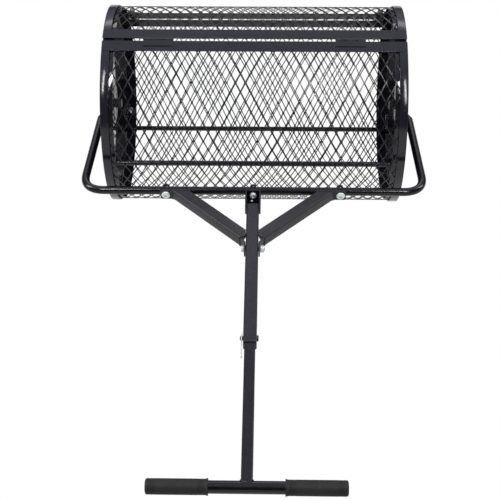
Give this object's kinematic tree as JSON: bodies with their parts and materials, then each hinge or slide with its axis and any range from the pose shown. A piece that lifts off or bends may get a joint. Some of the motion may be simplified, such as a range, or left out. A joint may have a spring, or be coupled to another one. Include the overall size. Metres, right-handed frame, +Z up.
{
  "type": "compost spreader",
  "caption": "Rolling mesh drum with a hinged door, carried in a U-shaped tube frame with braces and a telescoping T-handle.",
  "frame": {"origin": "on the ground, below the middle of the whole object's box", "axes": "+Z up, X along the drum's axle, -Y towards the T-handle"},
  "size_m": [0.716, 1.1832, 0.429],
  "materials": {
    "frame_coat": "semi-gloss black powder coat",
    "drum_coat": "semi-gloss black powder coat",
    "mesh_coat": "satin black powder coat",
    "black_steel": "black oxide",
    "zinc": "bright zinc plating",
    "grip_rubber": "matte, finely ribbed",
    "black_nylon": "satin"
  },
  "bodies": {
    "frame": {"axle_bolt_left": "black_steel", "axle_bolt_right": "black_steel", "axle_nut_left": "zinc", "axle_nut_right": "zinc", "axle_washer_inner_left": "black_steel", "axle_washer_inner_right": "black_steel", "axle_washer_outer_left": "zinc", "axle_washer_outer_right": "zinc", "brace_bolt_left": "zinc", "brace_bolt_right": "zinc", "brace_left": "frame_coat", "brace_nut_left": "black_steel", "brace_nut_right": "black_steel", "brace_right": "frame_coat", "centre_bolt": "zinc", "centre_bracket": "frame_coat", "centre_nut": "black_steel", "clevis_pin": "black_steel", "cross_bolt": "zinc", "cross_nut": "zinc", "guide_collar": "black_nylon", "u_tube": "frame_coat", "upper_tube": "frame_coat", "upper_tube_plug": "black_nylon"},
    "drum": {"axle_bush_left": "black_nylon", "axle_bush_right": "black_nylon", "end_disc_left": "drum_coat", "end_disc_right": "drum_coat", "fixed_rail_front": "drum_coat", "fixed_rail_rear": "drum_coat", "hinge_leaf_fixed_left": "drum_coat", "hinge_leaf_fixed_right": "drum_coat", "hinge_pin_left": "black_steel", "hinge_pin_right": "black_steel", "hoop_left": "drum_coat", "hoop_right": "drum_coat", "latch_keeper_left": "drum_coat", "latch_keeper_right": "drum_coat", "shell_mesh": "mesh_coat", "stringer_front": "drum_coat", "stringer_rear": "drum_coat"},
    "door": {"door_mesh": "mesh_coat", "door_rail_front": "drum_coat", "door_rail_rear": "drum_coat", "door_strip_left": "drum_coat", "door_strip_right": "drum_coat", "hinge_leaf_door_left": "drum_coat", "hinge_leaf_door_right": "drum_coat", "latch_guide_left": "drum_coat", "latch_guide_right": "drum_coat"},
    "latch_left": {"latch_rod_left": "zinc"},
    "latch_right": {"latch_rod_right": "zinc"},
    "handle_lower": {"grip_left": "grip_rubber", "grip_right": "grip_rubber", "lower_tube": "frame_coat", "t_bar": "frame_coat"},
    "clip": {"r_clip": "zinc"}
  },
  "joints": [
    {"name": "drum_spin", "type": "hinge", "parent": "frame", "child": "drum", "pos_m": [0, 0.37714, 0.21449], "axis": [1, 0, 0], "continuous": true},
    {"name": "door_swing", "type": "hinge", "parent": "drum", "child": "door", "pos_m": [0, 0.28802, 0.41004], "axis": [1, 0, 0], "range_deg": [0, 110]},
    {"name": "latch_left_slide", "type": "slide", "parent": "door", "child": "latch_left", "axis": [0, 0.6405, -0.768], "range_m": [0, 0.0105]},
    {"name": "latch_right_slide", "type": "slide", "parent": "door", "child": "latch_right", "axis": [0, 0.6405, -0.768], "range_m": [0, 0.0105]},
    {"name": "handle_slide", "type": "slide", "parent": "frame", "child": "handle_lower", "axis": [0, -0.9787, -0.2051], "range_m": [0, 0.1]},
    {"name": "clip_pull", "type": "slide", "parent": "frame", "child": "clip", "axis": [0, -0.9787, -0.2051], "range_m": [0, 0.045]}
  ]
}
